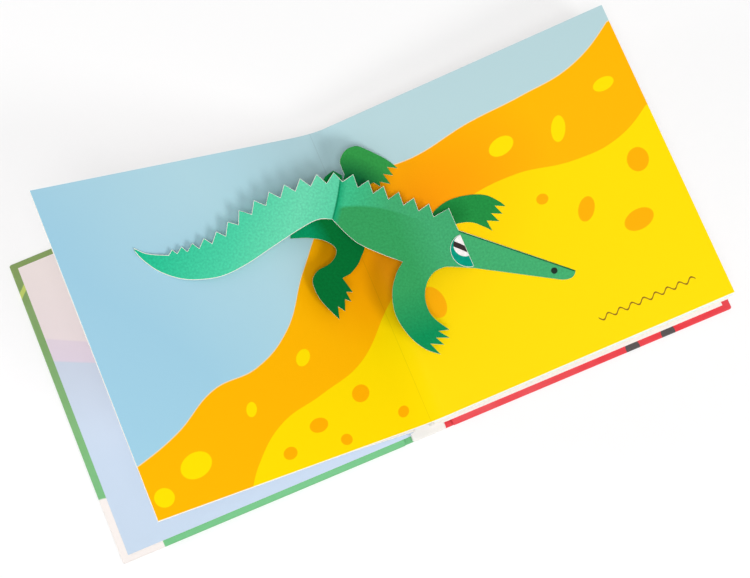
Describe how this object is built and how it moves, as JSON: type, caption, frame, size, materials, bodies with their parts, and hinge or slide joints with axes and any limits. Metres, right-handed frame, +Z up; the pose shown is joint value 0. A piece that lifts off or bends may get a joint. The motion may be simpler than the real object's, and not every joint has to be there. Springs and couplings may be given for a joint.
{
  "type": "pop up book",
  "caption": "Square pop-up picture book lying open, with hinged hard covers, thick card leaves, one raised, and a folded paper crocodile that bridges the gutter.",
  "frame": {"origin": "on the table under the middle of the spine", "axes": "+X to the reader's right across the open pages, +Y to the head of the pages, +Z up from the table"},
  "size_m": [0.3746, 0.1852, 0.1304],
  "materials": {
    "grey_board": "matt",
    "front_paper": "satin laminated paper",
    "spine_paper": "satin laminated paper",
    "back_paper": "satin laminated paper",
    "first_page_card": "matt card",
    "page_card": "matt card",
    "crocodile_paper": "matt paper",
    "leg_paper": "matt paper",
    "eye_paper": "matt paper"
  },
  "bodies": {
    "book_block": {"spine_board": "grey_board", "spine_wrap": "spine_paper", "page_block": "page_card", "crocodile": "crocodile_paper", "rear_legs": "leg_paper", "far_front_leg": "leg_paper", "eye": "eye_paper"},
    "front_cover": {"front_board": "grey_board", "front_wrap": "front_paper", "first_page": "first_page_card"},
    "back_cover": {"back_board": "grey_board", "back_wrap": "back_paper", "last_page": "page_card"}
  },
  "joints": [
    {"name": "front_cover_hinge", "type": "hinge", "parent": "book_block", "child": "front_cover", "pos_m": [-0.01225, 0, 0.00015], "axis": [0, 1, 0], "range_deg": [0, 42]},
    {"name": "back_cover_hinge", "type": "hinge", "parent": "book_block", "child": "back_cover", "pos_m": [0.01225, 0, 0.00015], "axis": [0, -1, 0], "range_deg": [0, 4]}
  ]
}
